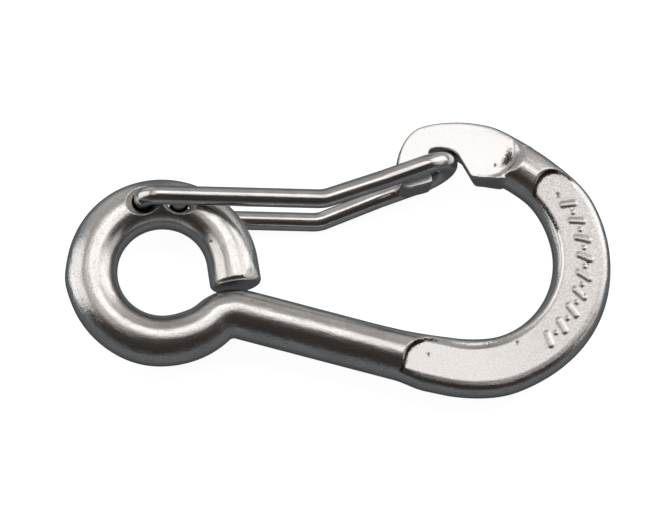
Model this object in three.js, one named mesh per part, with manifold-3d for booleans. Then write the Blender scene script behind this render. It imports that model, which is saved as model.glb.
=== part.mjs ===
// Wire-lever snap hook: one bent and forged round bar, closed by a sprung gate of round wire.
// Millimetres. The hook lies in the XY plane, its mid-plane at Z = 0. The origin is the centre of
// the eye, +X runs along the hook to the bow, and +Y is the side that the gate closes.

import * as THREE from 'three';
import * as BufferGeometryUtils from 'three/addons/utils/BufferGeometryUtils.js';
import Module from 'manifold-3d';

const wasm = await Module();
wasm.setup();

// Driving dimensions of the bar

const BAR_RADIUS = 4;
const BAR_SIDES = 18;
const BAR_STEP = 1.45;
const TAIL_EDGE_RADIUS = 1.1;
const EYE_RADIUS = 11.15;

// The bar's centreline from the eye's tail to the nose: radius (0 for straight), then the length of
// a straight or the turn of an arc in degrees, to the left when positive.
const TAIL = { radius: 0, length: 3.95 };
const EYE_START = 8;
const EYE = { radius: EYE_RADIUS, turn: 305.8 };
const HEEL = { radius: 4.9, turn: -59.2 };
const SHANK = { radius: 0, length: 24.4 };
const BOW_ENTRY = { radius: 145, turn: 3.6 };
const BOW = { radius: 17.7, turn: 106.7 };
const BOW_SHOULDER = { radius: 16.9, turn: 45.2 };
const NECK = { radius: 28, turn: 20 };

// Forged flats. A die starts with an arc on the bow's inner side, ends in a round nose at the neck,
// and its walls lean outwards by slope.
const FLAT_EDGE_DEGREES = [0, 30, 60, 90];
const BOW_FLAT = {
  halfThickness: 2.7, halfWidth: 4.6, outward: 0.2, edge: 1.0, endHalfWidth: 2.9, taperLength: 6,
};
const BOW_DIE = { start: 1.8, arcRadius: 4.3, endGap: 0.3, halfWidth: 3.3 };
const NOSE_FLAT = { halfThickness: 2.5, edgeDrop: 0.6, edgeInset: 0.3 };
const NOSE_DIE = { start: 4.7, arcRadius: 5, arcSide: 2 };
const DIE_HEIGHT = 2;
const DIE_SLOPE = 0.6;

// Outline of the nose
const NOSE_BACK = { x: 44.6, y: 17.3, radius: 7.3 };
const NOSE_TOP = { x: 47.4, y: 5.7, radius: 18.7 };
const BEAK = { left: 37.6, right: 42.5, bottomLeft: 13.0, bottomRight: 13.8, cornerRadius: 1.5 };
const NOTCH = { left: 42.3, top: 19.8, right: 46.9, rightY: 18.6 };
const SPUR = { left: 48.9, right: 53.2, bottom: 15.0, chamfer: 0.5 };

// Driving dimensions of the gate

const WIRE_RADIUS = 1.5;
const WIRE_SIDES = 12;
const WIRE_STEP = 1.0;
const PIVOT_FRONT = { x: -3.0, y: 10.75 };
const PIVOT_BACK = { x: 2.65, y: 10.83 };
const PIVOT_HOLE_RADIUS = 1.9;
const COUNTERSINK_RADIUS = 2.8;
const PIN_END = 2.4;
const LEG_Z = 5.9;
const LEG_BEND_RADIUS = 2.3;
const KINK = { x: 25.2, y: 10.2, bend: 5 };
const LEG_SLOPE = -0.0248;
const NIP = { x: 34.7, y: 13.66, z: 4.8, bend: 10 };
const LOOP = { x: 40.8, y: 15.88 };
const LOOP_GAP = 0.3;

// Finishes

const forgedSteel = new THREE.MeshStandardMaterial({ color: 0xb4b0ac, roughness: 0.34, metalness: 1 });
const drawnSteel = new THREE.MeshStandardMaterial({ color: 0xa9a6a2, roughness: 0.22, metalness: 1 });

const radians = THREE.MathUtils.degToRad;

// Curves

class ArcCurve extends THREE.Curve {
  constructor(centre, spoke, forward, angle) {
    super();
    this.centre = centre;
    this.spoke = spoke;
    this.forward = forward;
    this.angle = angle;
  }

  getPoint(t, target = new THREE.Vector3()) {
    const angle = t * this.angle;
    target.copy(this.centre).addScaledVector(this.spoke, Math.cos(angle));
    return target.addScaledVector(this.forward, Math.sin(angle));
  }
}

// Walks along straights and arcs in the XY plane and returns each one as a curve.
function walk(start, headingDegrees, pieces) {
  const position = start.clone();
  let heading = radians(headingDegrees);
  return pieces.map((piece) => {
    const along = new THREE.Vector3(Math.cos(heading), Math.sin(heading), 0);
    let curve;
    if (piece.radius === 0) {
      curve = new THREE.LineCurve3(position.clone(), position.clone().addScaledVector(along, piece.length));
    } else {
      const side = Math.sign(piece.turn);
      const spoke = new THREE.Vector3(along.y, -along.x, 0).multiplyScalar(side * piece.radius);
      const centre = position.clone().sub(spoke);
      curve = new ArcCurve(centre, spoke, along.multiplyScalar(piece.radius), radians(Math.abs(piece.turn)));
      heading += radians(piece.turn);
    }
    position.copy(curve.getPoint(1));
    return curve;
  });
}

function join(curves) {
  const path = new THREE.CurvePath();
  path.curves = curves;
  return path;
}

// Straight stretches between corners, each inner corner rounded to its own bend radius.
function bentWire(corners) {
  const curves = [];
  let from = corners[0].point;
  for (let i = 1; i < corners.length - 1; i += 1) {
    const { point, bend } = corners[i];
    const before = point.clone().sub(corners[i - 1].point).normalize();
    const after = corners[i + 1].point.clone().sub(point).normalize();
    const turn = before.angleTo(after);
    const reach = bend * Math.tan(turn / 2);
    const bendStart = point.clone().addScaledVector(before, -reach);
    const inward = after.clone().addScaledVector(before, -after.dot(before)).normalize();
    const centre = bendStart.clone().addScaledVector(inward, bend);
    const spoke = bendStart.clone().sub(centre);
    curves.push(new THREE.LineCurve3(from, bendStart));
    const arc = new ArcCurve(centre, spoke, before.clone().multiplyScalar(bend), turn);
    curves.push(arc);
    from = arc.getPoint(1);
  }
  curves.push(new THREE.LineCurve3(from, corners[corners.length - 1].point));
  return curves;
}

// Solids

function toSolid(geometry) {
  const bare = geometry.clone();
  bare.deleteAttribute('normal');
  bare.deleteAttribute('uv');
  const merged = BufferGeometryUtils.mergeVertices(bare, 1e-5);
  return new wasm.Manifold(new wasm.Mesh({
    numProp: 3,
    vertProperties: new Float32Array(merged.attributes.position.array),
    triVerts: new Uint32Array(merged.index.array),
  }));
}

function toMesh(name, solid, material) {
  const { vertProperties, triVerts } = solid.getMesh();
  const geometry = new THREE.BufferGeometry();
  geometry.setAttribute('position', new THREE.BufferAttribute(vertProperties, 3));
  geometry.setIndex(new THREE.BufferAttribute(triVerts, 1));
  geometry.computeVertexNormals();
  const mesh = new THREE.Mesh(geometry, material);
  mesh.name = name;
  return mesh;
}

// A closed solid that follows a path. The section's x is across the path in Z, and its y is across
// the path in the XY plane.
function sweep(section, curves, step) {
  const path = join(curves);
  const steps = Math.ceil(path.getLength() / step);
  return toSolid(new THREE.ExtrudeGeometry(section, { steps, extrudePath: path }));
}

function roundSection(radius, sides) {
  const points = [];
  for (let i = 0; i < sides; i += 1) {
    const angle = (i + 0.5) * 2 * Math.PI / sides;
    points.push(new THREE.Vector2(radius * Math.cos(angle), radius * Math.sin(angle)));
  }
  return new THREE.Shape(points);
}

function flatSection({ halfThickness, halfWidth, outward, edge }) {
  const corners = [[1, 1], [-1, 1], [-1, -1], [1, -1]];
  const points = corners.flatMap(([x, y], quarter) => FLAT_EDGE_DEGREES.map((degrees) => {
    const angle = radians(90 * quarter + degrees);
    return new THREE.Vector2(
      x * (halfThickness - edge) + edge * Math.cos(angle),
      y * (halfWidth - edge) + edge * Math.sin(angle) - outward,
    );
  }));
  return new THREE.Shape(points);
}

// What a pair of forging dies presses away above and below a flat, inside an outline.
function dies(outline, halfThickness) {
  const geometry = new THREE.ExtrudeGeometry(outline, {
    depth: DIE_HEIGHT,
    bevelThickness: DIE_HEIGHT,
    bevelSize: DIE_HEIGHT * DIE_SLOPE,
    bevelSegments: 1,
  });
  const rise = halfThickness + DIE_HEIGHT;
  const upper = toSolid(geometry.clone().translate(0, 0, rise));
  const lower = toSolid(geometry.clone().translate(0, 0, -rise - DIE_HEIGHT));
  return upper.add(lower);
}

// The bar's centreline

const tailHeading = EYE_START + 90;
const tailDirection = new THREE.Vector3(Math.cos(radians(tailHeading)), Math.sin(radians(tailHeading)), 0);
const tailEnd = new THREE.Vector3(Math.cos(radians(EYE_START)), Math.sin(radians(EYE_START)), 0)
  .multiplyScalar(EYE_RADIUS)
  .addScaledVector(tailDirection, -TAIL.length);
const barCurves = walk(tailEnd, tailHeading, [TAIL, EYE, HEEL, SHANK, BOW_ENTRY, BOW, BOW_SHOULDER, NECK]);
const bowCurves = barCurves.slice(4, 7);
const neckCurves = barCurves.slice(7);

// A point of the XY plane: so far along some curves, and so far to their left.
function beside(curves, distance, left) {
  const path = join(curves);
  const t = THREE.MathUtils.clamp(distance / path.getLength(), 0, 1);
  const tangent = path.getTangent(t);
  const point = path.getPoint(t);
  return new THREE.Vector2(point.x - tangent.y * left, point.y + tangent.x * left);
}

// Evenly spaced values from one number to another, both included.
function range(from, to, steps) {
  return Array.from({ length: steps + 1 }, (_, i) => from + (to - from) * i / steps);
}

// The hook's body

function roundBar() {
  return sweep(roundSection(BAR_RADIUS, BAR_SIDES), barCurves, BAR_STEP);
}

// The ring that rounds the edge of the tail's cut end.
function tailEdgeRing() {
  const edge = TAIL_EDGE_RADIUS;
  const outside = BAR_RADIUS + 0.5;
  const below = -0.1;
  const rounding = range(Math.PI / 2, 0, 3).map((angle) => new THREE.Vector2(
    BAR_RADIUS - edge + edge * Math.sin(angle),
    edge - edge * Math.cos(angle),
  ));
  const profile = [
    new THREE.Vector2(outside, edge),
    ...rounding,
    new THREE.Vector2(BAR_RADIUS - edge, below),
    new THREE.Vector2(outside, below),
    new THREE.Vector2(outside, edge),
  ];
  const geometry = new THREE.LatheGeometry(profile, BAR_SIDES);
  const turn = new THREE.Quaternion().setFromUnitVectors(new THREE.Vector3(0, 1, 0), tailDirection);
  geometry.applyQuaternion(turn);
  geometry.translate(tailEnd.x, tailEnd.y, 0);
  return toSolid(geometry);
}

// The flat of the bow, which widens from both ends.
function bowPlate() {
  const { halfWidth, endHalfWidth, taperLength, halfThickness } = BOW_FLAT;
  const length = join(bowCurves).getLength();
  const side = (from, to, sign) => range(from, to, 24).map((s) => {
    const fromEnd = Math.min(s, length - s, taperLength);
    const grown = Math.sin(fromEnd / taperLength * Math.PI / 2);
    return beside(bowCurves, s, sign * (endHalfWidth + (halfWidth + 1 - endHalfWidth) * grown));
  });
  const outline = new THREE.Shape([...side(0, length, -1), ...side(length, 0, 1)]);
  const depth = 2 * halfThickness + 2;
  const limits = new THREE.ExtrudeGeometry(outline, { depth, bevelEnabled: false });
  limits.translate(0, 0, -depth / 2);
  return sweep(flatSection(BOW_FLAT), bowCurves, BAR_STEP).intersect(toSolid(limits));
}

function bowDieOutline() {
  const { start, arcRadius, endGap, halfWidth } = BOW_DIE;
  const end = join(bowCurves).getLength() - endGap;
  const arcEnd = start + arcRadius;
  const noseStart = end - halfWidth;
  const outer = range(start, noseStart, 18).map((s) => beside(bowCurves, s, -halfWidth));
  const nose = range(-75, 75, 5).map((degrees) => beside(
    bowCurves,
    noseStart + halfWidth * Math.cos(radians(degrees)),
    halfWidth * Math.sin(radians(degrees)),
  ));
  const inner = range(noseStart, arcEnd, 18).map((s) => beside(bowCurves, s, halfWidth));
  const arc = range(15, 90, 5).map((degrees) => beside(
    bowCurves,
    arcEnd - arcRadius * Math.sin(radians(degrees)),
    halfWidth - arcRadius + arcRadius * Math.cos(radians(degrees)),
  ));
  return new THREE.Shape([...outer, ...nose, ...inner, ...arc]);
}

function noseOutline() {
  const shape = new THREE.Shape();
  shape.moveTo(BEAK.left + BEAK.cornerRadius, BEAK.bottomLeft);
  shape.lineTo(BEAK.right - 0.6, BEAK.bottomRight);
  shape.quadraticCurveTo(BEAK.right, BEAK.bottomRight + 0.1, BEAK.right, BEAK.bottomRight + 0.7);
  shape.lineTo(NOTCH.left, NOTCH.top - 0.8);
  shape.bezierCurveTo(
    NOTCH.left, NOTCH.top + 0.2,
    NOTCH.right - 1.2, NOTCH.top + 0.3,
    NOTCH.right, NOTCH.rightY,
  );
  shape.lineTo(SPUR.left - 0.3, SPUR.bottom + SPUR.chamfer);
  shape.quadraticCurveTo(SPUR.left, SPUR.bottom, SPUR.left + SPUR.chamfer, SPUR.bottom);
  shape.lineTo(SPUR.right, SPUR.bottom);
  const neckMiddle = beside(neckCurves, NOSE_DIE.start, 0);
  shape.lineTo(neckMiddle.x, neckMiddle.y);
  shape.absarc(NOSE_TOP.x, NOSE_TOP.y, NOSE_TOP.radius, radians(70), radians(111), false);
  shape.absarc(NOSE_BACK.x, NOSE_BACK.y, NOSE_BACK.radius, radians(127), radians(180), false);
  shape.lineTo(BEAK.left, BEAK.bottomLeft + BEAK.cornerRadius);
  shape.quadraticCurveTo(BEAK.left, BEAK.bottomLeft, BEAK.left + BEAK.cornerRadius, BEAK.bottomLeft);
  return shape;
}

function nosePlate() {
  const { halfThickness, edgeDrop, edgeInset } = NOSE_FLAT;
  const geometry = new THREE.ExtrudeGeometry(noseOutline(), {
    depth: 2 * (halfThickness - edgeDrop),
    bevelThickness: edgeDrop,
    bevelSize: edgeInset,
    bevelOffset: -edgeInset,
    bevelSegments: 2,
    curveSegments: 6,
  });
  return toSolid(geometry.translate(0, 0, edgeDrop - halfThickness));
}

// The nose dies reach from an arc across the neck to beyond the nose.
function noseDieOutline() {
  const { start, arcRadius, arcSide } = NOSE_DIE;
  const arc = range(90, 0, 5).map((degrees) => beside(
    neckCurves,
    start + arcRadius - arcRadius * Math.sin(radians(degrees)),
    arcSide - arcRadius * Math.cos(radians(degrees)),
  ));
  const reach = 6;
  const inner = beside(neckCurves, start, reach);
  const outer = beside(neckCurves, start + arcRadius, -reach);
  const left = NOSE_BACK.x - NOSE_BACK.radius - reach;
  const leftEnd = [new THREE.Vector2(left, outer.y), new THREE.Vector2(left, inner.y)];
  return new THREE.Shape([inner, ...arc, outer, ...leftEnd].reverse());
}

// A drilled hole through the bar, countersunk from both sides.
function pivotHole({ x, y }) {
  const funnel = COUNTERSINK_RADIUS - PIVOT_HOLE_RADIUS;
  const throat = BAR_RADIUS - funnel;
  const mouth = BAR_RADIUS + funnel;
  const profile = [
    [0, -mouth],
    [COUNTERSINK_RADIUS + funnel, -mouth],
    [PIVOT_HOLE_RADIUS, -throat],
    [PIVOT_HOLE_RADIUS, throat],
    [COUNTERSINK_RADIUS + funnel, mouth],
    [0, mouth],
  ].map(([radius, height]) => new THREE.Vector2(radius, height));
  const geometry = new THREE.LatheGeometry(profile, 24);
  return toSolid(geometry.rotateX(Math.PI / 2).translate(x, y, 0));
}

function hookBody() {
  return roundBar()
    .subtract(tailEdgeRing())
    .subtract(dies(bowDieOutline(), BOW_FLAT.halfThickness))
    .subtract(dies(noseDieOutline(), NOSE_FLAT.halfThickness))
    .add(bowPlate())
    .add(nosePlate())
    .subtract(pivotHole(PIVOT_FRONT))
    .subtract(pivotHole(PIVOT_BACK));
}

// The gate: one wire from pin to pin, in two solids that meet at the middle of its loop. Side is 1
// for the front leg and -1 for the back leg.
function gateLeg(pivot, side) {
  const legY = (x) => KINK.y + (x - KINK.x) * LEG_SLOPE;
  const corners = [
    { point: new THREE.Vector3(pivot.x, pivot.y, -side * PIN_END) },
    { point: new THREE.Vector3(pivot.x, legY(pivot.x), side * LEG_Z), bend: LEG_BEND_RADIUS },
    { point: new THREE.Vector3(KINK.x, KINK.y, side * LEG_Z), bend: KINK.bend },
    { point: new THREE.Vector3(NIP.x, NIP.y, side * NIP.z), bend: NIP.bend },
    { point: new THREE.Vector3(LOOP.x, LOOP.y, side * NIP.z) },
  ];
  const towardsLoop = new THREE.Vector3(LOOP.x - NIP.x, LOOP.y - NIP.y, 0).normalize();
  const splitAngle = Math.asin(LOOP_GAP / 2 / NIP.z);
  const quarterLoop = new ArcCurve(
    new THREE.Vector3(LOOP.x, LOOP.y, 0),
    new THREE.Vector3(0, 0, side * NIP.z),
    towardsLoop.multiplyScalar(NIP.z),
    Math.PI / 2 - splitAngle,
  );
  return sweep(roundSection(WIRE_RADIUS, WIRE_SIDES), [...bentWire(corners), quarterLoop], WIRE_STEP);
}

const snapHook = new THREE.Group();
snapHook.add(
  toMesh('hook_body', hookBody(), forgedSteel),
  toMesh('gate_front_leg', gateLeg(PIVOT_FRONT, 1), drawnSteel),
  toMesh('gate_back_leg', gateLeg(PIVOT_BACK, -1), drawnSteel),
);

export default snapHook;
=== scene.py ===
"""Looks of the snap hook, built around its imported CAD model. Lengths inside this script are
millimetres in the frame of the part; meshes, lights and camera are made in metres."""

import math

import bpy
import numpy as np
from mathutils import Matrix, Vector


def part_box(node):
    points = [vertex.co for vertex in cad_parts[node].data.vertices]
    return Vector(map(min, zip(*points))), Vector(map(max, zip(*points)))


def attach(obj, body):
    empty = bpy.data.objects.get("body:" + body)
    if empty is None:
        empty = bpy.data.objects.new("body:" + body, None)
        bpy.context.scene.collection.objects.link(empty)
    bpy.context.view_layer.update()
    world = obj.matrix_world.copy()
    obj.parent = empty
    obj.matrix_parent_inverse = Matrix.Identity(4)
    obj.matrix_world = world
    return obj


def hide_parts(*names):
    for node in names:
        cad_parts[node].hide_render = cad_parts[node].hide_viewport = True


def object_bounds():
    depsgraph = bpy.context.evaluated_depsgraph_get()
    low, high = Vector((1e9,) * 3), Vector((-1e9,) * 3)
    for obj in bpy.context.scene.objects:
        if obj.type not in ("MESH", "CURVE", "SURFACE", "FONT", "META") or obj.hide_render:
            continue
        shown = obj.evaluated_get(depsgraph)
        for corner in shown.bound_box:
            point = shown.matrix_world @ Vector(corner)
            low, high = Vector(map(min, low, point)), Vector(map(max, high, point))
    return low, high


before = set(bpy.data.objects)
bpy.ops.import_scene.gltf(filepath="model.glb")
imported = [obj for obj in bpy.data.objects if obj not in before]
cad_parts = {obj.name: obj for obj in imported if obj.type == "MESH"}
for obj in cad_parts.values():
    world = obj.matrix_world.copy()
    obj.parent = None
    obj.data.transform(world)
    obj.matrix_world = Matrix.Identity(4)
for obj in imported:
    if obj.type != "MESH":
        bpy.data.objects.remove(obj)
cad_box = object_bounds()

MM = 0.001

# ---------------------------------------------------------------- driving dimensions, millimetres

BAR_RADIUS = 4.0
TAIL_EDGE_RADIUS = 0.8
TAIL_LENGTH = 3.95
EYE_START = 8.0
EYE_RADIUS = 11.15

# The centreline of the bar after the tail: ("line", length) or ("arc", radius, turn in degrees).
CENTRELINE = [
    ("arc", EYE_RADIUS, 305.8),
    ("arc", 4.9, -59.2),
    ("line", 24.4),
    ("arc", 145.0, 3.6),
    ("arc", 17.7, 106.7),
    ("arc", 16.9, 45.2),
    ("arc", 28.0, 20.0),
]
FIRST_BOW_PIECE, LAST_BOW_PIECE, NECK_PIECE = 3, 5, 6

BOW_HALF_THICKNESS = 2.7
NOSE_HALF_THICKNESS = 2.5
NOSE_SLAB = 2.75
FOOT_RADIUS = 0.35

# The dies that press the flats: where each one starts or ends along the bar, and how round it is.
BOW_DIE_START = {"after": 2.0, "length": 4.6, "left": -0.7, "oval": 1.24}
BOW_DIE_END = {"before": 0.1, "radius": 3.4, "left": 0.2}
NOSE_DIE = {"start": 5.3, "radius": 4.6, "left": 0.2}

PIVOT_FRONT = (-3.0, 10.75)
PIVOT_BACK = (2.65, 10.83)
FRONT_HOLE_RADIUS = 1.7
BACK_HOLE_RADIUS = 1.9
COUNTERSINK_RADIUS = 2.95

CELL = 0.22


# ---------------------------------------------------------------- smooth booleans on distances


def smooth_min(a, b, reach):
    h = np.clip(0.5 + 0.5 * (b - a) / reach, 0.0, 1.0)
    return b + (a - b) * h - reach * h * (1.0 - h)


def smooth_max(a, b, reach):
    return -smooth_min(-a, -b, reach)


def smooth_step(x, low, high):
    t = np.clip((x - low) / (high - low), 0.0, 1.0)
    return t * t * (3.0 - 2.0 * t)


# ---------------------------------------------------------------- the centreline of the bar


class Piece:
    """One straight or arc of the centreline, and how far along and beside it any point is."""

    def __init__(self, start, heading, kind, size, turn=0.0):
        self.start = np.array(start, float)
        self.heading = heading
        self.kind = kind
        self.along = np.array([math.cos(heading), math.sin(heading)])
        if kind == "line":
            self.length = size
            self.end = self.start + self.along * size
            self.end_heading = heading
        else:
            self.radius = size
            self.turn = math.radians(turn)
            self.side = math.copysign(1.0, turn)
            left = np.array([-self.along[1], self.along[0]])
            self.centre = self.start + left * self.side * size
            self.start_angle = heading - self.side * math.pi / 2
            self.length = size * abs(self.turn)
            self.end_heading = heading + self.turn
            end_angle = self.start_angle + self.turn
            self.end = self.centre + size * np.array([math.cos(end_angle), math.sin(end_angle)])

    def measure(self, x, y):
        """Distance to the piece, distance along it, and distance to its left, of each point."""
        if self.kind == "line":
            dx, dy = x - self.start[0], y - self.start[1]
            along = dx * self.along[0] + dy * self.along[1]
            left = -dx * self.along[1] + dy * self.along[0]
            over = along - np.clip(along, 0.0, self.length)
            return np.hypot(over, left), np.clip(along, 0.0, self.length), left
        dx, dy = x - self.centre[0], y - self.centre[1]
        reach = np.hypot(dx, dy)
        middle = self.start_angle + self.turn / 2
        off = np.mod(np.arctan2(dy, dx) - middle + math.pi, 2 * math.pi) - math.pi
        half = abs(self.turn) / 2
        clamped = np.clip(off, -half, half)
        near = np.array([
            self.centre[0] + self.radius * np.cos(middle + clamped),
            self.centre[1] + self.radius * np.sin(middle + clamped),
        ])
        distance = np.where(
            np.abs(off) <= half, np.abs(reach - self.radius), np.hypot(x - near[0], y - near[1])
        )
        along = (half + self.side * clamped) * self.radius
        return distance, along, self.side * (self.radius - reach)


def make_centreline():
    start_angle = math.radians(EYE_START)
    position = EYE_RADIUS * np.array([math.cos(start_angle), math.sin(start_angle)])
    heading = start_angle + math.pi / 2
    pieces = []
    for kind, *sizes in CENTRELINE:
        piece = Piece(position, heading, kind, *sizes)
        pieces.append(piece)
        position, heading = piece.end, piece.end_heading
    return pieces


PIECES = make_centreline()
TAIL_DIRECTION = PIECES[0].along
TAIL_END = PIECES[0].start - TAIL_DIRECTION * TAIL_LENGTH
STARTS = np.concatenate([[0.0], np.cumsum([p.length for p in PIECES])])
BOW_START = STARTS[FIRST_BOW_PIECE]
BOW_END = STARTS[LAST_BOW_PIECE + 1]


def centreline(x, y):
    """Distance, distance along and distance to the left, for the nearest piece of the bar."""
    best = None
    for piece, start in zip(PIECES, STARTS):
        distance, along, left = piece.measure(x, y)
        if best is None:
            before_eye = (distance > np.abs(left) + 1e-9) & (along < piece.length / 2)
            distance = np.where(before_eye, 1e3, distance)
            best = [distance, along + start, left]
        else:
            nearer = distance < best[0]
            best = [np.where(nearer, new, old) for new, old in zip((distance, along + start, left), best)]
    return best


# ---------------------------------------------------------------- outline of the nose


def arc_points(centre, radius, start, end, count):
    angles = np.radians(np.linspace(start, end, count))
    return np.column_stack([centre[0] + radius * np.cos(angles), centre[1] + radius * np.sin(angles)])


def bezier(points, count):
    t = np.linspace(0.0, 1.0, count)[:, None]
    points = [np.array(p, float) for p in points]
    while len(points) > 1:
        points = [a * (1 - t) + b * t for a, b in zip(points, points[1:])]
    return points[0]


def nose_outline():
    """The nose at mid-thickness: beak, notch for the gate's loop, slope, spur, neck and back."""
    neck = PIECES[NECK_PIECE]
    middle = neck.centre + neck.radius * np.array([
        math.cos(neck.start_angle + neck.turn * 0.5), math.sin(neck.start_angle + neck.turn * 0.5)
    ])
    return np.concatenate([
        [[39.1, 13.0]],
        bezier([(41.9, 13.75), (42.9, 13.95), (42.9, 14.6)], 5),
        bezier([(42.45, 18.9), (42.25, 20.1), (45.6, 20.2), (46.9, 18.6)], 12),
        bezier([(48.55, 15.5), (48.85, 14.9), (49.5, 14.9)], 5),
        [[54.4, 14.5], middle],
        bezier([(59.23, 20.42), (57.04, 21.81), (54.68, 23.67), (52.14, 24.21)], 10),
        arc_points((48.4, 6.6), 18.0, 77, 97, 8),
        bezier([(45.4, 24.4), (43.5, 24.2), (41.9, 23.9), (40.85, 23.45)], 6),
        bezier([(40.4, 23.2), (38.6, 22.1), (37.35, 19.6), (37.25, 17.0)], 10),
        bezier([(37.45, 14.6), (37.5, 13.0), (39.1, 13.0)], 6)[:-1],
    ])


NOSE_OUTLINE = nose_outline()


def polygon_distance(x, y, outline):
    """Distance to a closed outline, negative inside it."""
    nearest = np.full(x.shape, 1e9)
    inside = np.zeros(x.shape, bool)
    for (ax, ay), (bx, by) in zip(outline, np.roll(outline, -1, axis=0)):
        ex, ey = bx - ax, by - ay
        dx, dy = x - ax, y - ay
        t = np.clip((dx * ex + dy * ey) / (ex * ex + ey * ey), 0.0, 1.0)
        nearest = np.minimum(nearest, (dx - ex * t) ** 2 + (dy - ey * t) ** 2)
        crosses = (ay > y) != (by > y)
        with np.errstate(divide="ignore", invalid="ignore"):
            at = ax + (y - ay) * ex / ey
        inside ^= crosses & (x < at)
    return np.where(inside, -1.0, 1.0) * np.sqrt(nearest)


# ---------------------------------------------------------------- the body as a distance field


def hump(x, centre, width):
    return np.exp(-(((x - centre) / width) ** 2))


def bar_growth(along):
    """How much wider than its stock the forged bar is on its inner and on its outer side."""
    bow = along - BOW_START
    end = BOW_END - BOW_START
    # The inner side: spread by the bow's flat, thinner at the neck, heel and shank, a slightly oval eye.
    inner = 0.38 * smooth_step(bow, 0, 9) * (1 - smooth_step(bow, end - 11, end))
    inner = inner + 0.3 * hump(bow, 12.5, 5) - 0.18 * smooth_step(bow, end - 6, end + 1)
    inner = inner - 0.4 * hump(bow, -29.5, 3.4) - 0.16 * smooth_step(bow, -31, -26) * (bow < 20)
    inner = inner + 0.16 * smooth_step(bow, -5, 4) * (bow < 20)
    inner = inner - 0.12 * np.cos((along - 13) / EYE_RADIUS * 2) * (bow < -33)
    # The outer side: spread by the bow's flat, and uneven where the bow and the eye were bent.
    outer = 0.62 * smooth_step(bow, 1, 6) * (1 - smooth_step(bow, end - 7, end))
    outer = outer + 0.35 * hump(bow, 32, 9) + 0.22 * hump(bow, 17, 3.5)
    outer = outer + 0.2 * hump(bow, -54.5, 1.7) + 0.15 * hump(bow, -41, 3.5) - 0.1 * hump(bow, -60, 5)
    return inner, outer


def press(body, height, edge_distance, half_thickness, slope, rim):
    """Presses a flat into the body on both sides, inside the line where edge_distance is 0."""
    over = height - half_thickness
    lean = slope / np.hypot(1.0, slope)
    wall = (over - np.maximum(edge_distance, -2.0) / slope) * lean
    return smooth_max(body, smooth_min(over, wall, FOOT_RADIUS), rim)


def bow_die(along, left):
    """Distance to the edge of the bow's flat: an oval corner at its start, round at the neck."""
    length = BOW_DIE_START["length"]
    before_flat = np.maximum(BOW_START + BOW_DIE_START["after"] + length - along, 0.0)
    beside_flat = np.maximum(left - BOW_DIE_START["left"], 0.0) * BOW_DIE_START["oval"]
    at_start = np.hypot(before_flat, beside_flat) - length
    radius = BOW_DIE_END["radius"]
    end = BOW_END - BOW_DIE_END["before"]
    at_end = np.hypot(np.maximum(along - end + radius, 0.0), left - BOW_DIE_END["left"]) - radius
    at_end = np.where(along < end - radius, np.minimum(at_end, -1.0), at_end)
    return np.maximum(at_start, at_end)


def nose_die(x, y):
    """Distance to the round edge of the nose's flat, across the neck."""
    neck = PIECES[NECK_PIECE]
    start, radius = NOSE_DIE["start"], NOSE_DIE["radius"]
    dx, dy = x - neck.centre[0], y - neck.centre[1]
    angle = np.arctan2(dy, dx) - neck.start_angle
    along = (np.mod(angle + math.pi, 2 * math.pi) - math.pi) * neck.radius
    left = neck.radius - np.hypot(dx, dy)
    edge = np.hypot(np.maximum(start + radius - along, 0.0), left - NOSE_DIE["left"]) - radius
    edge = np.where(along > start + radius, -radius, edge)
    return np.where((x > 34) & (y > 8), edge, 1e2)


# Raised marks along the bow's flat: plain slanted ribs with a dot between neighbours.
MARK_START, MARK_PITCH, MARK_COUNT = 25.4, 3.0, 9
MARK_LEFT = -0.35
MARK_HALF_LENGTH, MARK_RADIUS, MARK_HEIGHT, MARK_SLANT = 0.95, 0.42, 0.2, 22.0
DOT_RADIUS = 0.3


def mark_distance(along, left):
    """Distance, in the plane of the flat, to the middle line of the nearest mark."""
    slant = math.radians(MARK_SLANT)
    nearest = np.full(np.shape(along), 1e2)
    for number in range(MARK_COUNT):
        place = BOW_START + MARK_START + number * MARK_PITCH
        a, b = along - place, left - MARK_LEFT
        lengthwise = b * math.cos(slant) + a * math.sin(slant)
        across = a * math.cos(slant) - b * math.sin(slant)
        over = np.maximum(np.abs(lengthwise) - MARK_HALF_LENGTH, 0.0)
        nearest = np.minimum(nearest, np.hypot(over, across) - MARK_RADIUS)
        if number:
            nearest = np.minimum(nearest, np.hypot(a + MARK_PITCH / 2, b) - DOT_RADIUS)
    return nearest


# Small pits of the forged surface: x, y, depth side (+1 front), radius.
PITS = [
    (62.6, 12.0, 1, 0.36), (50.8, -12.4, 1, 0.22), (55.2, -12.4, 1, 0.28), (41.2, -14.3, 1, 0.24),
    (52.8, 17.05, 1, 0.24), (7.6, 4.0, 1, 0.17), (66.9, 0.6, 1, 0.24), (66.1, -4.4, 1, 0.22),
    (47.5, -17.2, -1, 0.3), (63.9, 9.8, -1, 0.33), (45.0, 21.5, -1, 0.28), (-9.0, -4.0, -1, 0.3),
]

WAVE_SEED, WAVE_COUNT, WAVE_NUMBER, WAVE_HEIGHT = 7, 9, 0.55, 0.018


def waviness(x, y, z):
    """A slight unevenness of the forged and tumbled surface."""
    random = np.random.default_rng(WAVE_SEED)
    total = np.zeros(np.broadcast(x, y, z).shape)
    for _ in range(WAVE_COUNT):
        k = random.normal(size=3) * WAVE_NUMBER
        total = total + np.sin(x * k[0] + y * k[1] + z * k[2] + random.uniform(0, 6.28))
    return total / WAVE_COUNT


def tail_place(x, y):
    """Distance along and to the left of the straight tail, counted from its end."""
    dx, dy = x - TAIL_END[0], y - TAIL_END[1]
    along = dx * TAIL_DIRECTION[0] + dy * TAIL_DIRECTION[1]
    return along, dy * TAIL_DIRECTION[0] - dx * TAIL_DIRECTION[1]


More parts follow.
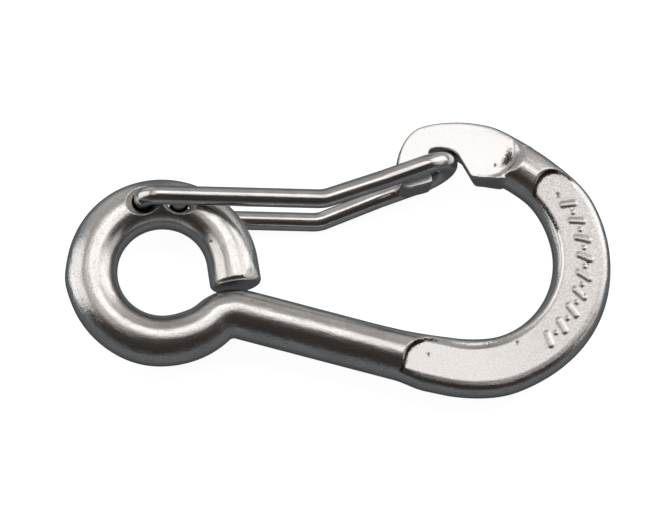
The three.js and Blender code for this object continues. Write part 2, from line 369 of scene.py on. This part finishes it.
def tail_distance(x, y, z):
    """The sheared end of the eye: rounded edge, and a flat nick at its outer corner."""
    along, left = tail_place(x, y)
    inner, outer = bar_growth(along - TAIL_LENGTH)
    reach = np.maximum(np.hypot(left, z), 1e-6)
    growth = np.where(left > 0, inner, outer) * (left / reach) ** 2
    across = reach - growth - (BAR_RADIUS - TAIL_EDGE_RADIUS)
    outside = TAIL_EDGE_RADIUS - along
    tail = np.hypot(np.maximum(across, 0.0), np.maximum(outside, 0.0)) - TAIL_EDGE_RADIUS
    tail = tail + np.minimum(np.maximum(across, outside), 0.0)
    nick = -0.62 * left - 0.2 * along + 0.76 * z - 3.45
    tail = smooth_max(tail, nick, 0.15)
    return np.where(along > TAIL_LENGTH, 1e3, tail)


def nose_distance(x, y, z):
    """The flat nose; its walls bulge at mid-thickness and its slope is cut at an angle."""
    shape = np.broadcast(x, y, z).shape
    x, y, z = (np.broadcast_to(axis, shape) for axis in (x, y, z))
    window = smooth_step(x, 43.0, 46.5) * (1 - smooth_step(x, 50.5, 54.5))
    shift = 0.24 * (NOSE_HALF_THICKNESS - z) * window * (1 - smooth_step(y, 18.3, 20.6))
    near = (x > 33) & (x < 62) & (y > 8)
    nose = np.full(shape, 1e2)
    nose[near] = polygon_distance((x - shift)[near], y[near], NOSE_OUTLINE)
    towards_neck = 0.55 * smooth_step(x, 44.0, 52.0) + 0.3 * smooth_step(x, 50.0, 56.0)
    bulge = 0.14 + towards_neck * smooth_step(y, 18, 21)
    nose = nose + bulge * (z / NOSE_HALF_THICKNESS) ** 2
    return smooth_max(nose, np.abs(z) - NOSE_SLAB, 0.2)


def body_distance(x, y, z):
    """Distance to the surface of the hook's body, negative inside the steel."""
    height = np.abs(z)
    distance, along, left = centreline(x, y)
    inner, outer = bar_growth(along)
    reach = np.maximum(np.hypot(distance, z), 1e-6)
    sideways = np.minimum(distance / reach, 1.0) ** 2
    growth = np.where(left > 0, inner, outer) * sideways
    body = np.hypot(distance, z) - BAR_RADIUS - growth
    body = np.minimum(body, tail_distance(x, y, z))
    body = smooth_min(body, nose_distance(x, y, z), 0.4)

    bow = along - BOW_START
    side_rim = 0.6 * smooth_step(np.abs(left), 2.0, 3.2)
    inner_rim = 1.1 * smooth_step(left, 1.8, 3.0) * hump(bow, 13.0, 9.0)
    rim = 0.25 + side_rim + inner_rim
    slope = np.where(bow < 20, 0.32, 0.42)
    body = press(body, height, bow_die(along, left), BOW_HALF_THICKNESS, slope, rim)
    body = press(body, height, nose_die(x, y), NOSE_HALF_THICKNESS, 0.85, 0.45)

    mark = mark_distance(along, left)
    rise = MARK_HEIGHT * (1 - smooth_step(mark, -0.36, 0.3)) * (height > 1.5)
    body = body - rise * (z > 0)
    for pit_x, pit_y, side, radius in PITS:
        body = body + 0.5 * radius * hump(np.hypot(x - pit_x, y - pit_y), 0.0, radius) * (z * side > 1.5)

    for (hole_x, hole_y), radius in ((PIVOT_FRONT, FRONT_HOLE_RADIUS), (PIVOT_BACK, BACK_HOLE_RADIUS)):
        reach = np.hypot(x - hole_x, y - hole_y) - radius
        throat = BAR_RADIUS - (COUNTERSINK_RADIUS - radius)
        hole = smooth_min(reach, (reach - height + throat) * math.sqrt(0.5), 0.12)
        body = smooth_max(body, -hole, 0.12)
    return body + WAVE_HEIGHT * waviness(x, y, z)


# ---------------------------------------------------------------- from a distance field to a mesh


def field_grid(low, high, cell):
    axes = [np.arange(a, b + cell, cell) for a, b in zip(low, high)]
    x, y, z = np.meshgrid(*axes, indexing="ij", sparse=True)
    return axes, x, y, z


def surface_nets(values, low, cell):
    """One vertex in each cell that the surface crosses, and one face for each crossed grid edge."""
    shape = np.array(values.shape) - 1
    total = np.zeros((*shape, 3), np.float32)
    count = np.zeros(shape, np.float32)
    inside = values < 0
    crossings = []
    for axis in range(3):
        lower = [slice(None)] * 3
        upper = [slice(None)] * 3
        lower[axis], upper[axis] = slice(0, -1), slice(1, None)
        a, b = values[tuple(lower)], values[tuple(upper)]
        i, j, k = np.nonzero(inside[tuple(lower)] != inside[tuple(upper)])
        fraction = a[i, j, k] / (a[i, j, k] - b[i, j, k])
        point = np.stack([i, j, k], 1).astype(np.float32)
        point[:, axis] += fraction
        crossings.append((axis, np.stack([i, j, k], 1), inside[tuple(lower)][i, j, k]))
        u, v = (axis + 1) % 3, (axis + 2) % 3
        for du in (-1, 0):
            for dv in (-1, 0):
                cell_index = np.stack([i, j, k], 1)
                cell_index[:, u] += du
                cell_index[:, v] += dv
                keys = tuple(cell_index.T)
                np.add.at(total, keys, point)
                np.add.at(count, keys, 1.0)
    used = count > 0
    number = np.full(shape, -1, np.int64)
    number[used] = np.arange(used.sum())
    vertices = total[used] / count[used][:, None] * cell + np.array(low, np.float32)
    faces = []
    for axis, edges, starts_inside in crossings:
        u, v = (axis + 1) % 3, (axis + 2) % 3
        ring = []
        for du, dv in ((-1, -1), (0, -1), (0, 0), (-1, 0)):
            cell_index = edges.copy()
            cell_index[:, u] += du
            cell_index[:, v] += dv
            ring.append(number[tuple(cell_index.T)])
        ring = np.stack(ring, 1)
        ring[~starts_inside] = ring[~starts_inside][:, ::-1]
        faces.append(ring)
    return vertices.astype(np.float64), np.concatenate(faces)


def gradient(function, points, step=0.01):
    result = np.empty_like(points)
    for axis in range(3):
        shift = np.zeros(3)
        shift[axis] = step
        ahead, behind = points + shift, points - shift
        result[:, axis] = (function(*ahead.T) - function(*behind.T)) / (2 * step)
    return result


def settle(function, vertices, faces, cell, rounds=3):
    """Evens out the vertices and moves them onto the surface."""
    edges = np.concatenate([faces[:, [a, (a + 1) % 4]] for a in range(4)])
    degree = np.bincount(edges[:, 0], minlength=len(vertices)).astype(float)
    for turn in range(rounds):
        for _ in range(2):
            slope = gradient(function, vertices)
            steep = np.maximum((slope ** 2).sum(1), 1e-6)
            move = slope * (function(*vertices.T) / steep)[:, None]
            size = np.linalg.norm(move, axis=1, keepdims=True)
            vertices = vertices - move * np.minimum(1.0, cell / np.maximum(size, 1e-9))
        if turn < rounds - 1:
            mean = np.stack([
                np.bincount(edges[:, 0], vertices[edges[:, 1], axis], len(vertices)) for axis in range(3)
            ], 1) / degree[:, None]
            normal = slope / np.sqrt(steep)[:, None]
            pull = mean - vertices
            pull -= normal * (pull * normal).sum(1, keepdims=True)
            vertices = vertices + 0.6 * pull
    slope = gradient(function, vertices)
    return vertices, slope / np.linalg.norm(slope, axis=1, keepdims=True)


def make_object(name, vertices, faces, normals=None):
    mesh = bpy.data.meshes.new(name)
    mesh.from_pydata((vertices * MM).tolist(), [], faces.tolist())
    mesh.polygons.foreach_set("use_smooth", np.ones(len(mesh.polygons), bool))
    if normals is not None:
        mesh.normals_split_custom_set_from_vertices(normals.tolist())
    mesh.update()
    obj = bpy.data.objects.new(name, mesh)
    bpy.context.scene.collection.objects.link(obj)
    return obj


def add_attribute(mesh, name, values):
    """Stores one number or one vector for each vertex, for the materials to read."""
    kind = "FLOAT" if values.ndim == 1 else "FLOAT_VECTOR"
    attribute = mesh.attributes.new(name, kind, "POINT")
    attribute.data.foreach_set("value" if values.ndim == 1 else "vector", values.astype(np.float32).ravel())


def make_hook_body():
    low, high = [np.array(corner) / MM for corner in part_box("hook_body")]
    margin = 5 * CELL
    axes, x, y, z = field_grid(low - margin, high + margin, CELL)
    values = body_distance(x, y, z)
    vertices, faces = surface_nets(values, [axis[0] for axis in axes], CELL)
    vertices, normals = settle(body_distance, vertices, faces, CELL)
    hook = make_object("hook_body_forged", vertices, faces, normals)
    add_surface_attributes(hook.data, vertices, normals)
    return hook


def add_surface_attributes(mesh, vertices, normals):
    """Where each vertex is on the bar, how much of it is a pressed flat, and how much painted shade it gets
    in the corners of the flats, inside the holes and in the pits.
    """
    x, y, z = vertices.T
    height = np.abs(z)
    distance, along, left = centreline(x, y)
    tail_along, tail_left = tail_place(x, y)
    on_tail = (tail_along > -1) & (tail_along < TAIL_LENGTH) & (np.abs(tail_left) < BAR_RADIUS + 0.3)
    along = np.where(on_tail, tail_along - TAIL_LENGTH, along)
    left = np.where(on_tail, tail_left, left)
    on_nose = smooth_step(-nose_die(x, y), -0.2, 0.3) * (np.abs(height - NOSE_HALF_THICKNESS) < 0.3)
    on_bow = smooth_step(-bow_die(along, left), -0.2, 0.3) * (height > BOW_HALF_THICKNESS - 0.2)
    on_bow *= (along > BOW_START) & (along < BOW_END)
    facing = smooth_step(np.abs(normals[:, 2]), 0.88, 0.97)
    # Painted shade: a dark band along the foot of the bow's flat, and another at the foot of the nose's
    # flat, where shade falls.
    corner = hump(bow_die(along, left), 0.1, 0.55) * (height < 3.6) * (height > 2.3)
    corner *= (np.abs(left) < 3.4) * smooth_step(np.abs(along - BOW_START - 26), 18, 21)
    nose_corner = hump(nose_die(x, y), -0.75, 0.9) * hump(left, 0.2, 2.1)
    hole_reach = np.minimum(
        np.hypot(x - PIVOT_FRONT[0], y - PIVOT_FRONT[1]) - FRONT_HOLE_RADIUS,
        np.hypot(x - PIVOT_BACK[0], y - PIVOT_BACK[1]) - BACK_HOLE_RADIUS,
    )
    inside_hole = 1 - smooth_step(hole_reach, -0.05, 0.15)
    pits = sum(
        hump(np.hypot(x - px, y - py), 0, 0.8 * radius) * (z * side > 1.5) for px, py, side, radius in PITS
    )
    nose_corner *= height < 3.2
    # The painted shade mask: dark in the corners of the flats, inside the holes and in the pits.
    painted_shade_mask = np.clip(0.9 * corner + 0.95 * nose_corner + inside_hole + 0.9 * pits, 0, 1)
    add_attribute(mesh, "bar", np.stack([along, left, z], 1))
    add_attribute(mesh, "flat", np.clip(on_bow + on_nose, 0, 1) * facing)
    add_attribute(mesh, "bow_flat", np.clip(on_bow, 0, 1) * facing)
    add_attribute(mesh, "painted_shade_mask", painted_shade_mask)


# ---------------------------------------------------------------- the wire of the gate

WIRE_RADIUS = 1.5
WIRE_SIDES = 40
WIRE_STEP = 0.25
PIN_END = 2.4
PIN_CHAMFER = 0.3
LEG_Z = 5.9
LEG_BEND_RADIUS = 2.3
KINK = (25.2, 10.2)
KINK_BEND = 5.0
LEG_SLOPE = -0.0248
NIP = (34.75, 13.8)
NIP_Z = 4.8
NIP_BEND = 10.0
LOOP = (41.1, 16.15)


def arc_through(corner, before, after, bend):
    """Start, centre and turn of the arc that rounds a corner of a bent wire."""
    turn = math.acos(np.clip(before @ after, -1.0, 1.0))
    start = corner - before * bend * math.tan(turn / 2)
    inward = after - before * (after @ before)
    return start, start + inward / np.linalg.norm(inward) * bend, turn


def wire_path(pivot, side):
    """Evenly spaced points and directions along half of the gate, from its pin to mid-loop."""
    leg_y = KINK[1] + (pivot[0] - KINK[0]) * LEG_SLOPE
    corners = np.array([
        [pivot[0], pivot[1], -side * PIN_END],
        [pivot[0], leg_y, side * LEG_Z],
        [*KINK, side * LEG_Z],
        [*NIP, side * NIP_Z],
        [*LOOP, side * NIP_Z],
    ])
    bends = [LEG_BEND_RADIUS, KINK_BEND, NIP_BEND]
    points, directions = [], []

    def add_line(start, end):
        length = np.linalg.norm(end - start)
        for t in np.arange(0.0, length, WIRE_STEP):
            points.append(start + (end - start) * t / length)
            directions.append((end - start) / length)

    def add_arc(centre, spoke, forward, turn):
        count = max(4, round(turn * np.linalg.norm(spoke) / WIRE_STEP))
        for angle in np.arange(count) / count * turn:
            points.append(centre + spoke * math.cos(angle) + forward * math.sin(angle))
            directions.append((forward * math.cos(angle) - spoke * math.sin(angle)) / np.linalg.norm(spoke))

    place = corners[0]
    for corner, following, bend in zip(corners[1:], corners[2:], bends):
        before = (corner - place) / np.linalg.norm(corner - place)
        after = (following - corner) / np.linalg.norm(following - corner)
        start, centre, turn = arc_through(corner, before, after, bend)
        add_line(place, start)
        add_arc(centre, start - centre, before * bend, turn)
        place = start + (before + after) * bend * math.tan(turn / 2)
    add_line(place, corners[-1])
    towards_apex = np.array([LOOP[0] - NIP[0], LOOP[1] - NIP[1], 0.0])
    towards_apex *= NIP_Z / np.linalg.norm(towards_apex)
    loop_centre = np.array([*LOOP, 0.0])
    add_arc(loop_centre, np.array([0.0, 0.0, side * NIP_Z]), towards_apex, math.pi / 2)
    points.append(loop_centre + towards_apex)
    directions.append(np.array([0.0, 0.0, -side]))
    return np.array(points), np.array(directions)


def make_wire(name, pivot, side):
    points, directions = wire_path(pivot, side)
    across = np.cross(directions[0], [0.0, 1.0, 0.0])
    angles = np.linspace(0.0, 2 * math.pi, WIRE_SIDES, endpoint=False)
    rings, normals = [], []
    for point, direction in zip(points, directions):
        across = across - direction * (across @ direction)
        across /= np.linalg.norm(across)
        upward = np.cross(direction, across)
        spokes = np.outer(np.cos(angles), across) + np.outer(np.sin(angles), upward)
        rings.append(point + spokes * WIRE_RADIUS)
        normals.append(spokes)
    first = directions[0]
    chamfer_ring = rings[0] - normals[0] * PIN_CHAMFER
    rings[0] = rings[0] + first * PIN_CHAMFER
    rings.insert(0, chamfer_ring)
    normals.insert(0, (normals[0] - first) / math.sqrt(2))
    vertices = np.concatenate([*rings, [points[0]], [points[-1]]])
    vertex_normals = np.concatenate([*normals, [-first], [directions[-1]]])
    count = len(rings)
    ring = np.arange(WIRE_SIDES)
    following = (ring + 1) % WIRE_SIDES
    quads = [
        np.stack([ring + a, following + a, following + a + WIRE_SIDES, ring + a + WIRE_SIDES], 1)
        for a in np.arange(count - 1) * WIRE_SIDES
    ]
    faces = np.concatenate(quads).tolist()
    pin_centre, loop_end = count * WIRE_SIDES, count * WIRE_SIDES + 1
    last = (count - 1) * WIRE_SIDES
    faces += [[pin_centre, b, a] for a, b in zip(ring, following)]
    faces += [[loop_end, last + a, last + b] for a, b in zip(ring, following)]
    mesh = bpy.data.meshes.new(name)
    mesh.from_pydata((vertices * MM).tolist(), [], [[int(i) for i in face] for face in faces])
    mesh.polygons.foreach_set("use_smooth", np.ones(len(mesh.polygons), bool))
    corner_normals = []
    for polygon in mesh.polygons:
        flat = len(polygon.vertices) == 3
        cap = vertex_normals[polygon.vertices[0]]
        corner_normals += [cap if flat else vertex_normals[v] for v in polygon.vertices]
    mesh.normals_split_custom_set([tuple(n) for n in corner_normals])
    steps = np.arange(count).repeat(WIRE_SIDES) * WIRE_STEP
    around = np.tile(angles, count)
    straight = np.stack([steps, np.cos(around) * WIRE_RADIUS, np.sin(around) * WIRE_RADIUS], 1)
    add_attribute(mesh, "bar", np.concatenate([straight, [[0, 0, 0]], [[steps[-1], 0, 0]]]))
    obj = bpy.data.objects.new(name, mesh)
    bpy.context.scene.collection.objects.link(obj)
    return obj


# ---------------------------------------------------------------- materials


def new_material(name):
    material = bpy.data.materials.new(name)
    material.use_nodes = True
    nodes = material.node_tree.nodes
    nodes.clear()
    output = nodes.new("ShaderNodeOutputMaterial")
    return material, nodes, material.node_tree.links, output


class Graph:
    """Short names for the node links that the steel materials share."""

    def __init__(self, name):
        self.material, self.nodes, self.links, self.output = new_material(name)

    def feed(self, socket, value):
        if isinstance(value, bpy.types.NodeSocket):
            self.links.new(value, socket)
        else:
            socket.default_value = value

    def attribute(self, name, output="Fac"):
        node = self.nodes.new("ShaderNodeAttribute")
        node.attribute_name = name
        return node.outputs[output]

    def stretched(self, vector, stretch):
        node = self.nodes.new("ShaderNodeVectorMath")
        node.operation = "MULTIPLY"
        self.feed(node.inputs[0], vector)
        node.inputs[1].default_value = stretch
        return node.outputs["Vector"]

    def noise(self, vector, scale, detail=2.0, roughness=0.5):
        node = self.nodes.new("ShaderNodeTexNoise")
        self.feed(node.inputs["Vector"], vector)
        node.inputs["Scale"].default_value = scale
        node.inputs["Detail"].default_value = detail
        node.inputs["Roughness"].default_value = roughness
        return node.outputs["Fac"]

    def remap(self, value, from_low, from_high, low, high):
        node = self.nodes.new("ShaderNodeMapRange")
        self.feed(node.inputs["Value"], value)
        names = ("From Min", "From Max", "To Min", "To Max")
        for name, number in zip(names, (from_low, from_high, low, high)):
            self.feed(node.inputs[name], number)
        return node.outputs["Result"]

    def math(self, operation, a, b):
        node = self.nodes.new("ShaderNodeMath")
        node.operation = operation
        self.feed(node.inputs[0], a)
        self.feed(node.inputs[1], b)
        return node.outputs[0]

    def mix(self, factor, a, b):
        node = self.nodes.new("ShaderNodeMix")
        node.data_type = "RGBA"
        self.feed(node.inputs["Factor"], factor)
        self.feed(node.inputs["A"], a)
        self.feed(node.inputs["B"], b)
        return node.outputs["Result"]

    def blend(self, factor, a, b):
        node = self.nodes.new("ShaderNodeMix")
        self.feed(node.inputs["Factor"], factor)
        self.feed(node.inputs["A"], a)
        self.feed(node.inputs["B"], b)
        return node.outputs["Result"]

    def bump(self, height, depth, normal=None):
        node = self.nodes.new("ShaderNodeBump")
        self.feed(node.inputs["Height"], height)
        node.inputs["Distance"].default_value = depth * MM
        if normal is not None:
            self.feed(node.inputs["Normal"], normal)
        return node.outputs["Normal"]

    def metal(self, colour, roughness, normal):
        shader = self.nodes.new("ShaderNodeBsdfPrincipled")
        shader.inputs["Metallic"].default_value = 1.0
        self.feed(shader.inputs["Base Color"], colour)
        self.feed(shader.inputs["Roughness"], roughness)
        self.feed(shader.inputs["Normal"], normal)
        self.links.new(shader.outputs["BSDF"], self.output.inputs["Surface"])
        return self.material


STEEL_DARK = (0.51, 0.495, 0.48, 1)
STEEL_LIGHT = (0.66, 0.645, 0.63, 1)
STEEL_GRAIN = (0.3, 0.28, 0.27, 1)
NOSE_DARK = (0.7, 0.69, 0.685, 1)
NOSE_LIGHT = (0.8, 0.79, 0.785, 1)
BOW_DARK = (0.54, 0.525, 0.515, 1)
BOW_LIGHT = (0.7, 0.685, 0.675, 1)
MARKED_DARK = (0.38, 0.365, 0.355, 1)
MARKED_LIGHT = (0.68, 0.665, 0.655, 1)
SPECK = (0.16, 0.14, 0.13, 1)
# Colour of the painted shade in the corners, holes and pits.
PAINTED_SHADE_COLOUR = (0.06, 0.045, 0.038, 1)
WIRE_DARK = (0.5, 0.488, 0.475, 1)
WIRE_LIGHT = (0.63, 0.615, 0.6, 1)


def forged_steel():
    """Tumbled forging: fine streaks along the bar, sandy flats, and painted shade, a dark brown colour, in
    the corners, holes and pits.
    """
    graph = Graph("forged_steel_look")
    place = graph.nodes.new("ShaderNodeTexCoord").outputs["Object"]
    millimetres = graph.stretched(place, (1 / MM, 1 / MM, 1 / MM))
    bar = graph.attribute("bar", "Vector")
    flat = graph.attribute("flat")
    bow_flat = graph.attribute("bow_flat")
    painted_shade_mask = graph.attribute("painted_shade_mask")

    on_bar = graph.nodes.new("ShaderNodeSeparateXYZ")
    graph.feed(on_bar.inputs[0], bar)
    streaks = graph.noise(graph.stretched(bar, (0.09, 1.0, 1.0)), 2.1, 4.0, 0.55)
    mottle = graph.noise(graph.stretched(bar, (0.3, 1.0, 1.0)), 0.6, 4.0, 0.6)
    sand = graph.noise(millimetres, 3.6, 3.0, 0.65)
    peel = graph.noise(graph.stretched(bar, (0.45, 1.0, 1.0)), 1.1, 3.0, 0.5)

    steel = graph.mix(graph.remap(mottle, 0.3, 0.7, 0, 1), STEEL_DARK, STEEL_LIGHT)
    steel = graph.mix(graph.remap(sand, 0.36, 0.5, 0.35, 0), steel, STEEL_GRAIN)
    bright = graph.mix(graph.remap(sand, 0.3, 0.6, 0, 1), NOSE_DARK, NOSE_LIGHT)
    marked = graph.remap(on_bar.outputs["X"], BOW_START + 13, BOW_START + 27, 0, 1)
    dust_low = graph.mix(marked, BOW_DARK, MARKED_DARK)
    dust_high = graph.mix(marked, BOW_LIGHT, MARKED_LIGHT)
    dusty = graph.mix(graph.remap(sand, 0.3, 0.64, 0, 1), dust_low, dust_high)
    colour = graph.mix(flat, steel, graph.mix(bow_flat, bright, dusty))
    speck = graph.remap(graph.noise(millimetres, 2.0, 2.0, 0.6), 0.7, 0.76, 0, 0.6)
    colour = graph.mix(speck, colour, SPECK)
    # Painted shade: corners, holes and pits are painted dark brown and made rougher, with a ragged edge
    # from the sand noise.
    ragged = graph.math("ADD", painted_shade_mask, graph.remap(sand, 0.3, 0.7, -0.3, 0.3))
    painted_shade_amount = graph.remap(ragged, 0.4, 0.8, 0, 1)
    colour = graph.mix(painted_shade_amount, colour, PAINTED_SHADE_COLOUR)

    round_roughness = graph.remap(streaks, 0.3, 0.7, 0.19, 0.27)
    flat_roughness = graph.remap(sand, 0.3, 0.7, 0.3, 0.44)
    clean = graph.blend(flat, round_roughness, flat_roughness)
    roughness = graph.blend(painted_shade_amount, clean, 0.6)

    flat_sand = graph.math("MULTIPLY", sand, graph.remap(bow_flat, 0, 1, 0.16, 1.0))
    grain = graph.noise(millimetres, 5.5, 2.0, 0.7)
    round_part = graph.math("SUBTRACT", 1.0, flat)
    outer_side = graph.remap(on_bar.outputs["Y"], -1.4, -2.4, 0, 1)
    dimples = graph.noise(graph.stretched(bar, (0.5, 1.0, 1.0)), 1.7, 3.0, 0.65)
    dents = graph.math("MULTIPLY", graph.remap(dimples, 0.5, 0.68, 0, 1), outer_side)
    normal = graph.bump(flat_sand, 0.03)
    normal = graph.bump(grain, 0.012, normal)
    normal = graph.bump(graph.math("MULTIPLY", streaks, round_part), 0.014, normal)
    normal = graph.bump(graph.math("MULTIPLY", peel, round_part), 0.03, normal)
    normal = graph.bump(graph.math("MULTIPLY", dents, round_part), 0.018, normal)
    return graph.metal(colour, roughness, normal)


def drawn_wire():
    """Smooth drawn wire with faint lengthwise lines."""
    graph = Graph("drawn_wire_look")
    bar = graph.attribute("bar", "Vector")
    lines = graph.noise(graph.stretched(bar, (0.05, 1.0, 1.0)), 3.2, 3.0, 0.6)
    mottle = graph.noise(graph.stretched(bar, (0.4, 1.0, 1.0)), 0.8, 3.0, 0.6)
    colour = graph.mix(graph.remap(mottle, 0.3, 0.7, 0, 1), WIRE_DARK, WIRE_LIGHT)
    roughness = graph.remap(lines, 0.3, 0.7, 0.15, 0.25)
    normal = graph.bump(mottle, 0.012, graph.bump(lines, 0.006))
    return graph.metal(colour, roughness, normal)


# ---------------------------------------------------------------- camera, floor and light

CAMERA_TARGET = (25.58, 1.04, 0.0)
CAMERA_ELEVATION = 72.0
CAMERA_TURN = 14.0
CAMERA_DISTANCE = 600.0
CAMERA_LENS = 211.08
FLOOR_SIZE = 4.0
LIGHT_DISTANCE = 0.5

# name, azimuth, elevation, angle across, angle up, radiance, tint
SOFTBOXES = [
    ("softbox_left", -79, 14, 44, 60, 1.35, (1.0, 0.995, 0.99)),
    ("softbox_right", 61, 27, 42, 52, 1.4, (1.0, 0.99, 0.975)),
    ("softbox_right_front", 98, 22, 26, 30, 0.7, (1.0, 0.97, 0.94)),
    ("softbox_top", 27, 75, 40, 30, 1.42, (1.0, 0.985, 0.975)),
    ("fill_top_left", -62, 66, 46, 26, 0.75, (1.0, 0.975, 0.955)),
    ("fill_top_right", 66, 62, 22, 20, 0.6, (1.0, 0.98, 0.96)),
]


def make_camera():
    elevation, turn = math.radians(CAMERA_ELEVATION), math.radians(CAMERA_TURN)
    back = Vector((
        -math.cos(elevation) * math.sin(turn),
        -math.cos(elevation) * math.cos(turn),
        math.sin(elevation),
    ))
    up = Vector((0.0, back.z, -back.y)).normalized()
    right = up.cross(back)
    data = bpy.data.cameras.new("camera")
    data.lens = CAMERA_LENS
    data.sensor_width = 36.0
    data.clip_start = 0.01
    data.clip_end = 10.0
    camera = bpy.data.objects.new("camera", data)
    bpy.context.scene.collection.objects.link(camera)
    rotation = Matrix((right, up, back)).transposed()
    place = (Vector(CAMERA_TARGET) + back * CAMERA_DISTANCE) * MM
    camera.matrix_world = Matrix.Translation(place) @ rotation.to_4x4()
    bpy.context.scene.camera = camera


def make_floor():
    """A pale floor under the hook. It glows a little, so that only a faint contact shadow shows."""
    low, _ = cad_box
    bpy.ops.mesh.primitive_plane_add(size=FLOOR_SIZE, location=(0.0, 0.0, low[2]))
    floor = bpy.context.object
    floor.name = "floor"
    material, nodes, links, output = new_material("floor_white")
    diffuse = nodes.new("ShaderNodeBsdfDiffuse")
    diffuse.inputs["Color"].default_value = (0.3, 0.3, 0.3, 1)
    glow = nodes.new("ShaderNodeEmission")
    glow.inputs["Strength"].default_value = 0.93
    total = nodes.new("ShaderNodeAddShader")
    links.new(diffuse.outputs["BSDF"], total.inputs[0])
    links.new(glow.outputs["Emission"], total.inputs[1])
    links.new(total.outputs["Shader"], output.inputs["Surface"])
    floor.data.materials.append(material)
    floor.visible_glossy = False


def direction(azimuth, elevation):
    """A direction from its azimuth, clockwise from +Y seen from above, and its elevation."""
    azimuth, elevation = math.radians(azimuth), math.radians(elevation)
    flat = math.cos(elevation)
    return Vector((flat * math.sin(azimuth), flat * math.cos(azimuth), math.sin(elevation)))


def make_softbox(name, azimuth, elevation, width, height, radiance, tint):
    """A rectangular light that faces the hook; width and height are the angles it spans."""
    data = bpy.data.lights.new(name, "AREA")
    data.shape = "RECTANGLE"
    data.size = 2 * LIGHT_DISTANCE * math.tan(math.radians(width / 2))
    data.size_y = 2 * LIGHT_DISTANCE * math.tan(math.radians(height / 2))
    data.energy = radiance * math.pi * data.size * data.size_y
    data.color = tint
    light = bpy.data.objects.new(name, data)
    light.visible_camera = False
    bpy.context.scene.collection.objects.link(light)
    away = direction(azimuth, elevation)
    light.matrix_world = (
        Matrix.Translation(away * LIGHT_DISTANCE + Vector(CAMERA_TARGET) * MM)
        @ away.to_track_quat("Z", "Y").to_matrix().to_4x4()
    )


# What the steel reflects between the lights: colours by height, and by how far behind the hook.
ABOVE_BY_Y = [(-0.35, (0.05, 0.042, 0.037)), (0.12, (0.13, 0.12, 0.115)), (0.6, (0.46, 0.445, 0.435))]
BELOW_BY_Z = [(-0.95, (0.08, 0.082, 0.085)), (-0.55, (0.17, 0.184, 0.198)), (-0.05, (0.195, 0.213, 0.23))]
HAZE_BEHIND = (0.6, 0.585, 0.575, 1)


def make_world():
    """Dark in front, grey behind, blue-grey below, and a paler haze low on both sides behind."""
    world = bpy.data.worlds.new("studio")
    bpy.context.scene.world = world
    world.use_nodes = True
    nodes, links = world.node_tree.nodes, world.node_tree.links
    background = nodes["Background"]
    place = nodes.new("ShaderNodeTexCoord")
    parts = nodes.new("ShaderNodeSeparateXYZ")
    links.new(place.outputs["Generated"], parts.inputs[0])

    def ramp(source, stops):
        node = nodes.new("ShaderNodeMapRange")
        node.inputs["From Min"].default_value = -1.0
        node.inputs["From Max"].default_value = 1.0
        links.new(source, node.inputs["Value"])
        colours = nodes.new("ShaderNodeValToRGB")
        links.new(node.outputs["Result"], colours.inputs["Fac"])
        elements = colours.color_ramp.elements
        while len(elements) < len(stops):
            elements.new(0.5)
        for element, (position, colour) in zip(elements, stops):
            element.position = (position + 1) / 2
            element.color = (*colour, 1)
        return colours.outputs["Color"]

    def fade(source, low, high):
        node = nodes.new("ShaderNodeMapRange")
        node.inputs["From Min"].default_value = low
        node.inputs["From Max"].default_value = high
        links.new(source, node.inputs["Value"])
        return node.outputs["Result"]

    def combine(operation, a, b=None):
        node = nodes.new("ShaderNodeMath")
        node.operation = operation
        links.new(a, node.inputs[0])
        if b is not None:
            links.new(b, node.inputs[1])
        return node.outputs[0]

    def mix(factor, a, b):
        node = nodes.new("ShaderNodeMix")
        node.data_type = "RGBA"
        links.new(factor, node.inputs["Factor"])
        links.new(a, node.inputs["A"])
        if isinstance(b, tuple):
            node.inputs["B"].default_value = b
        else:
            links.new(b, node.inputs["B"])
        return node.outputs["Result"]

    above = ramp(parts.outputs["Y"], ABOVE_BY_Y)
    below = ramp(parts.outputs["Z"], BELOW_BY_Z)
    around = mix(fade(parts.outputs["Z"], -0.02, 0.3), below, above)
    beside = fade(combine("ABSOLUTE", parts.outputs["X"]), 0.1, 0.26)
    behind = fade(parts.outputs["Y"], 0.5, 0.85)
    level = fade(parts.outputs["Z"], -0.5, -0.2)
    low_behind = combine("MULTIPLY", combine("MULTIPLY", beside, behind), level)
    hazy = mix(low_behind, around, HAZE_BEHIND)
    seen = nodes.new("ShaderNodeLightPath")
    shown = mix(seen.outputs["Is Camera Ray"], hazy, (1, 1, 1, 1))
    links.new(shown, background.inputs["Color"])


hook = make_hook_body()
front_leg = make_wire("gate_wire_front", PIVOT_FRONT, 1)
back_leg = make_wire("gate_wire_back", PIVOT_BACK, -1)
hook.data.materials.append(forged_steel())
wire_look = drawn_wire()
for wire in (front_leg, back_leg):
    wire.data.materials.append(wire_look)
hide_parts("hook_body")
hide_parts("gate_front_leg")
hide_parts("gate_back_leg")
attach(hook, "hook")
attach(front_leg, "gate_front")
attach(back_leg, "gate_back")

make_camera()
make_floor()
make_world()
for softbox in SOFTBOXES:
    make_softbox(*softbox)
bpy.context.scene.view_settings.view_transform = "Standard"
